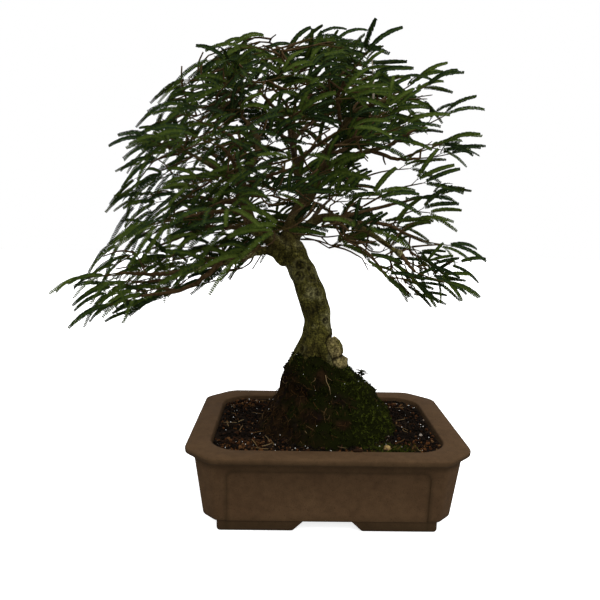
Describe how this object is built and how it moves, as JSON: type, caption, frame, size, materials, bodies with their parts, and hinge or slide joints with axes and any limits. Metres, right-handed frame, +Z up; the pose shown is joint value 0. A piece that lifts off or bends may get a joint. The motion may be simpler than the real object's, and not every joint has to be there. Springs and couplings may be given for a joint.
{
  "type": "pink powder puff bonsai with its pot",
  "caption": "Bonsai tree with feathery twice-divided leaves on a leaning trunk, in a mossy mound of soil and a shallow stoneware pot with cut corners and feet.",
  "frame": {"origin": "on the ground under the middle of the whole object's box", "axes": "+Z up, +Y towards the back, +X to the right seen from the front"},
  "size_m": [0.4846, 0.3748, 0.5256],
  "materials": {
    "stoneware": "matt unglazed stoneware",
    "clay_granules": "rough moist granules",
    "moss": "rough moss and peat",
    "bark": "smooth grey-green bark",
    "leaf": "satin leaf",
    "weed": "satin leaf",
    "mesh_plastic": "matt black plastic"
  },
  "bodies": {
    "root": {"drain_mesh_left": "mesh_plastic", "drain_mesh_right": "mesh_plastic", "foot_back_left": "stoneware", "foot_back_right": "stoneware", "foot_front_left": "stoneware", "foot_front_right": "stoneware", "moss_mound": "moss", "pot": "stoneware", "soil": "clay_granules", "spray_01": "leaf", "spray_02": "leaf", "spray_03": "leaf", "spray_04": "leaf", "spray_05": "leaf", "spray_06": "leaf", "spray_07": "leaf", "spray_08": "leaf", "spray_09": "leaf", "spray_10": "leaf", "spray_11": "leaf", "spray_12": "leaf", "spray_13": "leaf", "spray_14": "leaf", "spray_15": "leaf", "spray_16": "leaf", "spray_17": "leaf", "spray_18": "leaf", "spray_19": "leaf", "spray_20": "leaf", "spray_21": "leaf", "spray_22": "leaf", "spray_23": "leaf", "spray_24": "leaf", "spray_25": "leaf", "spray_26": "leaf", "spray_27": "leaf", "spray_28": "leaf", "spray_29": "leaf", "spray_30": "leaf", "spray_31": "leaf", "spray_32": "leaf", "spray_33": "leaf", "spray_34": "leaf", "spray_36": "leaf", "spray_37": "leaf", "spray_38": "leaf", "spray_39": "leaf", "spray_40": "leaf", "spray_41": "leaf", "spray_42": "leaf", "spray_43": "leaf", "spray_44": "leaf", "spray_45": "leaf", "spray_46": "leaf", "spray_47": "leaf", "spray_48": "leaf", "spray_49": "leaf", "spray_50": "leaf", "trunk": "bark", "weed_sprout": "weed"}
  },
  "joints": []
}
